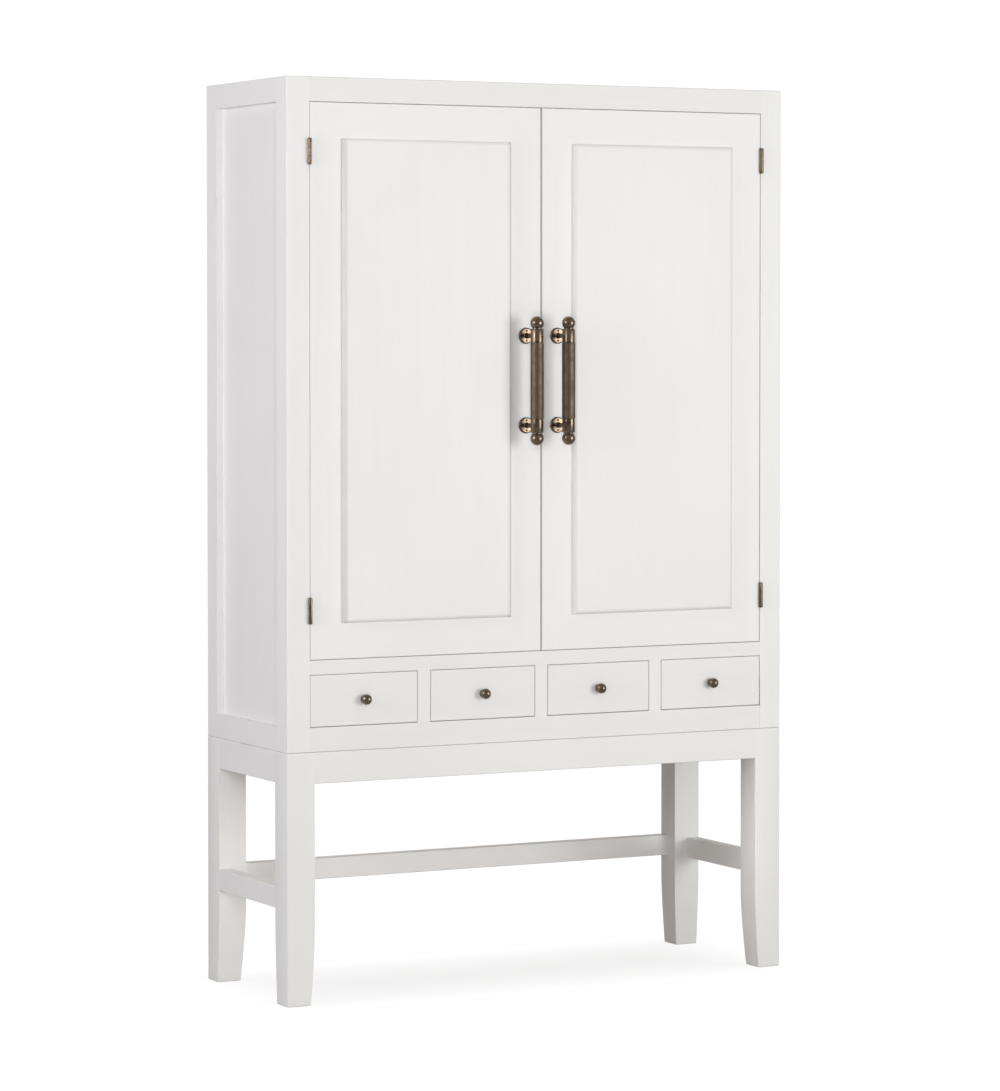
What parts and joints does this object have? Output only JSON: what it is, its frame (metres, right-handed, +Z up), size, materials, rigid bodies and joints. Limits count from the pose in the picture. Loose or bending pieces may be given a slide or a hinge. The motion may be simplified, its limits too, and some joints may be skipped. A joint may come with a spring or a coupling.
{
  "type": "china cabinet",
  "caption": "Painted wooden cabinet on an open stand: panelled doors with brass bar handles over a row of small drawers, with shelves inside.",
  "frame": {"origin": "on the floor, under the middle of the whole object's box, handles included", "axes": "+X to the right seen from the front, +Y from the front to the back, +Z up; the doors face -Y"},
  "size_m": [1.2, 0.4864, 1.944],
  "materials": {
    "painted_wood": "off-white satin paint, lightly rubbed at the edges",
    "bare_wood": "waxed, unpainted",
    "aged_brass": "antique, brushed"
  },
  "bodies": {
    "cabinet": {"post_front_left": "painted_wood", "post_front_right": "painted_wood", "post_back_left": "painted_wood", "post_back_right": "painted_wood", "top_rail_front": "painted_wood", "top_rail_back": "painted_wood", "top_rail_left": "painted_wood", "top_rail_right": "painted_wood", "bottom_rail_front": "painted_wood", "bottom_rail_left": "painted_wood", "bottom_rail_right": "painted_wood", "middle_rail_front": "painted_wood", "drawer_divider_1": "painted_wood", "drawer_divider_2": "painted_wood", "drawer_divider_3": "painted_wood", "side_panel_left": "painted_wood", "side_panel_right": "painted_wood", "back_panel": "bare_wood", "top_panel": "painted_wood", "cabinet_floor": "bare_wood", "drawer_deck": "bare_wood", "shelf_lower": "bare_wood", "shelf_upper": "bare_wood", "leg_front_left": "painted_wood", "leg_front_right": "painted_wood", "leg_back_left": "painted_wood", "leg_back_right": "painted_wood", "apron_front": "painted_wood", "apron_back": "painted_wood", "apron_left": "painted_wood", "apron_right": "painted_wood", "stretcher_left": "painted_wood", "stretcher_right": "painted_wood", "stretcher_rear": "painted_wood", "hinge_post_leaf_left_lower": "aged_brass", "hinge_post_leaf_left_upper": "aged_brass", "hinge_post_leaf_right_lower": "aged_brass", "hinge_post_leaf_right_upper": "aged_brass"},
    "door_left": {"door_frame_left": "painted_wood", "door_panel_left": "painted_wood", "door_handle_left": "aged_brass", "hinge_door_leaf_left_lower": "aged_brass", "hinge_door_leaf_left_upper": "aged_brass"},
    "door_right": {"door_frame_right": "painted_wood", "door_panel_right": "painted_wood", "door_handle_right": "aged_brass", "hinge_door_leaf_right_lower": "aged_brass", "hinge_door_leaf_right_upper": "aged_brass"},
    "drawer_1": {"drawer_front_1": "painted_wood", "drawer_box_1": "bare_wood", "drawer_knob_1": "aged_brass"},
    "drawer_2": {"drawer_front_2": "painted_wood", "drawer_box_2": "bare_wood", "drawer_knob_2": "aged_brass"},
    "drawer_3": {"drawer_front_3": "painted_wood", "drawer_box_3": "bare_wood", "drawer_knob_3": "aged_brass"},
    "drawer_4": {"drawer_front_4": "painted_wood", "drawer_box_4": "bare_wood", "drawer_knob_4": "aged_brass"}
  },
  "joints": [
    {"name": "door_left_swing", "type": "hinge", "parent": "cabinet", "child": "door_left", "pos_m": [-0.5474, -0.1813, 1.3085], "axis": [0, 0, -1], "range_deg": [0, 170]},
    {"name": "door_right_swing", "type": "hinge", "parent": "cabinet", "child": "door_right", "pos_m": [0.5474, -0.1813, 1.3085], "axis": [0, 0, 1], "range_deg": [0, 170]},
    {"name": "drawer_1_slide", "type": "slide", "parent": "cabinet", "child": "drawer_1", "axis": [0, -1, 0], "range_m": [0, 0.26]},
    {"name": "drawer_2_slide", "type": "slide", "parent": "cabinet", "child": "drawer_2", "axis": [0, -1, 0], "range_m": [0, 0.26]},
    {"name": "drawer_3_slide", "type": "slide", "parent": "cabinet", "child": "drawer_3", "axis": [0, -1, 0], "range_m": [0, 0.26]},
    {"name": "drawer_4_slide", "type": "slide", "parent": "cabinet", "child": "drawer_4", "axis": [0, -1, 0], "range_m": [0, 0.26]}
  ]
}
